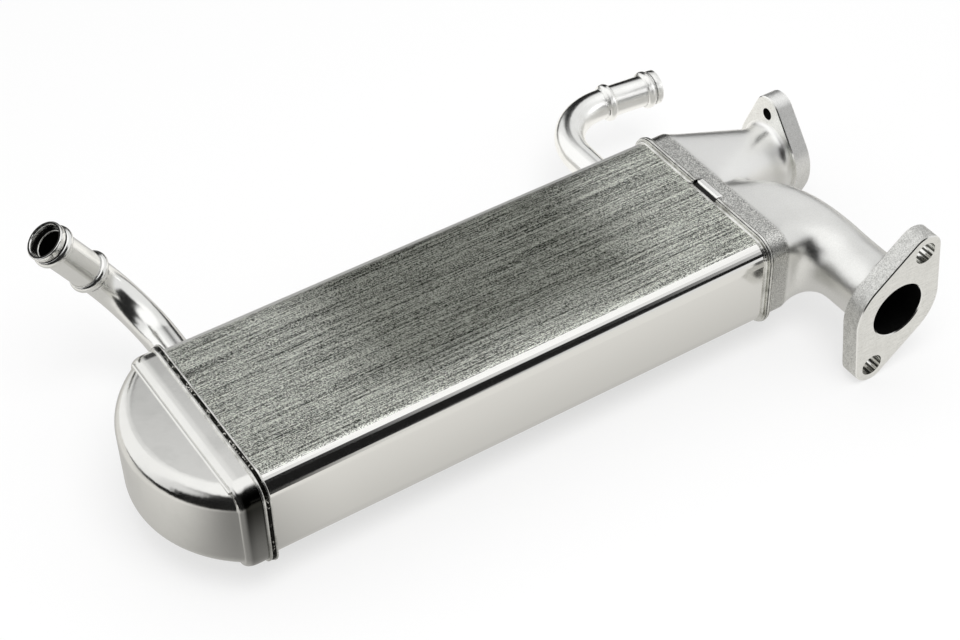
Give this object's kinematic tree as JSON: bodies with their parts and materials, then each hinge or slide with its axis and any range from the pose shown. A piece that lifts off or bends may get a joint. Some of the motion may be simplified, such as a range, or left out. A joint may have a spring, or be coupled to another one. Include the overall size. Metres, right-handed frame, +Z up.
{
  "type": "egr cooler",
  "caption": "Flat stainless exhaust gas cooler with a tube core in a coolant shell, a drawn return cap, a cast gas header with bolt flanges, and bent beaded coolant pipes.",
  "frame": {"origin": "centre of the front gas flange's face, on the port's axis", "axes": "+X from the return cap to the gas header, +Y from the front flange to the coolant pipes, +Z up"},
  "size_m": [0.2994, 0.1714, 0.0798],
  "materials": {
    "grained_sheet": "lengthwise grained stainless sheet",
    "drawn_sheet": "smooth drawn stainless sheet",
    "sheet_rim": "bright sheet edge with weld seams",
    "cast_steel": "blasted stainless casting with machined faces",
    "polished_pipe": "polished stainless tube",
    "tube_steel": "brazed stainless strip",
    "fin_steel": "corrugated stainless foil"
  },
  "bodies": {
    "root": {"shell": "grained_sheet", "return_cap": "drawn_sheet", "return_tube_sheet": "sheet_rim", "port_tube_sheet": "sheet_rim", "gas_header": "cast_steel", "coolant_inlet_pipe": "polished_pipe", "coolant_outlet_pipe": "polished_pipe", "front_tube_1": "tube_steel", "front_tube_2": "tube_steel", "front_tube_3": "tube_steel", "front_tube_4": "tube_steel", "front_tube_5": "tube_steel", "rear_tube_1": "tube_steel", "rear_tube_2": "tube_steel", "rear_tube_3": "tube_steel", "rear_tube_4": "tube_steel", "rear_tube_5": "tube_steel", "coolant_baffle_1": "tube_steel", "coolant_baffle_2": "tube_steel", "coolant_baffle_3": "tube_steel", "front_fin_1": "fin_steel", "front_fin_2": "fin_steel", "front_fin_3": "fin_steel", "front_fin_4": "fin_steel", "front_fin_5": "fin_steel", "rear_fin_1": "fin_steel", "rear_fin_2": "fin_steel", "rear_fin_3": "fin_steel", "rear_fin_4": "fin_steel", "rear_fin_5": "fin_steel"}
  },
  "joints": []
}
